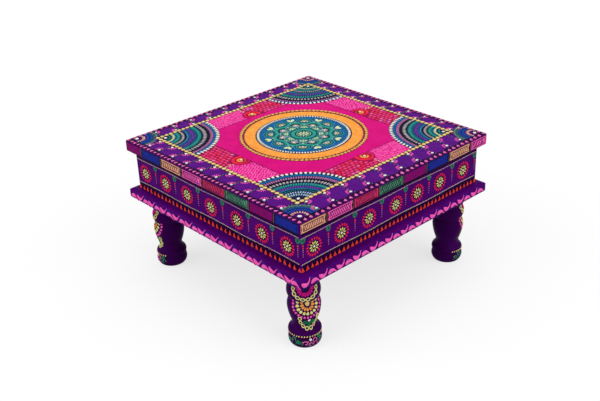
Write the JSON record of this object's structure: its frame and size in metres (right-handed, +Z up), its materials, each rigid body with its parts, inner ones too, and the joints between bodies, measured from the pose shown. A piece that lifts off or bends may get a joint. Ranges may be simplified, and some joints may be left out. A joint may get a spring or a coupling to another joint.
{
  "type": "low table",
  "caption": "Low square table of painted wood: top board on a mitred apron box, a moulded base frame and turned legs, covered in bright folk ornament.",
  "frame": {"origin": "on the floor, under the middle of the table", "axes": "+Z up; -Y is the front side, +X the right side; the sides are parallel to X and Y"},
  "size_m": [0.3852, 0.3852, 0.208],
  "materials": {
    "painted_wood": "hand-brushed purple gloss paint on wood, with faint brush marks",
    "bare_wood": "planed bare wood",
    "zinc_steel": "zinc-plated steel",
    "magenta_paint": "thick glossy magenta paint, laid by hand in slight relief",
    "pink_paint": "thick glossy pink paint, laid by hand in slight relief",
    "red_paint": "thick glossy red paint, laid by hand in slight relief",
    "coral_paint": "thick glossy coral paint, laid by hand in slight relief",
    "orange_paint": "thick glossy orange paint, laid by hand in slight relief",
    "yellow_paint": "thick glossy yellow paint, laid by hand in slight relief",
    "cream_paint": "thick glossy cream paint, laid by hand in slight relief",
    "lime_paint": "thick glossy lime paint, laid by hand in slight relief",
    "green_paint": "thick glossy green paint, laid by hand in slight relief",
    "teal_paint": "thick glossy teal paint, laid by hand in slight relief",
    "blue_paint": "thick glossy blue paint, laid by hand in slight relief",
    "navy_paint": "thick glossy navy paint, laid by hand in slight relief",
    "violet_paint": "thick glossy violet paint, laid by hand in slight relief",
    "tan_paint": "thick glossy tan paint, laid by hand in slight relief",
    "black_paint": "thick glossy black paint, laid by hand in slight relief"
  },
  "bodies": {
    "root": {"top_board": "painted_wood", "apron_front": "painted_wood", "base_rail_front": "painted_wood", "top_cleat_front": "bare_wood", "apron_right": "painted_wood", "base_rail_right": "painted_wood", "top_cleat_right": "bare_wood", "apron_back": "painted_wood", "base_rail_back": "painted_wood", "top_cleat_back": "bare_wood", "apron_left": "painted_wood", "base_rail_left": "painted_wood", "top_cleat_left": "bare_wood", "leg_front_right": "painted_wood", "corner_block_front_right": "bare_wood", "leg_back_right": "painted_wood", "corner_block_back_right": "bare_wood", "leg_back_left": "painted_wood", "corner_block_back_left": "bare_wood", "leg_front_left": "painted_wood", "corner_block_front_left": "bare_wood", "top_screws": "zinc_steel", "cleat_screws": "zinc_steel", "rail_screws": "zinc_steel", "block_screws": "zinc_steel", "hanger_bolts": "zinc_steel", "leg_washers": "zinc_steel", "leg_nuts": "zinc_steel"}
  },
  "joints": []
}
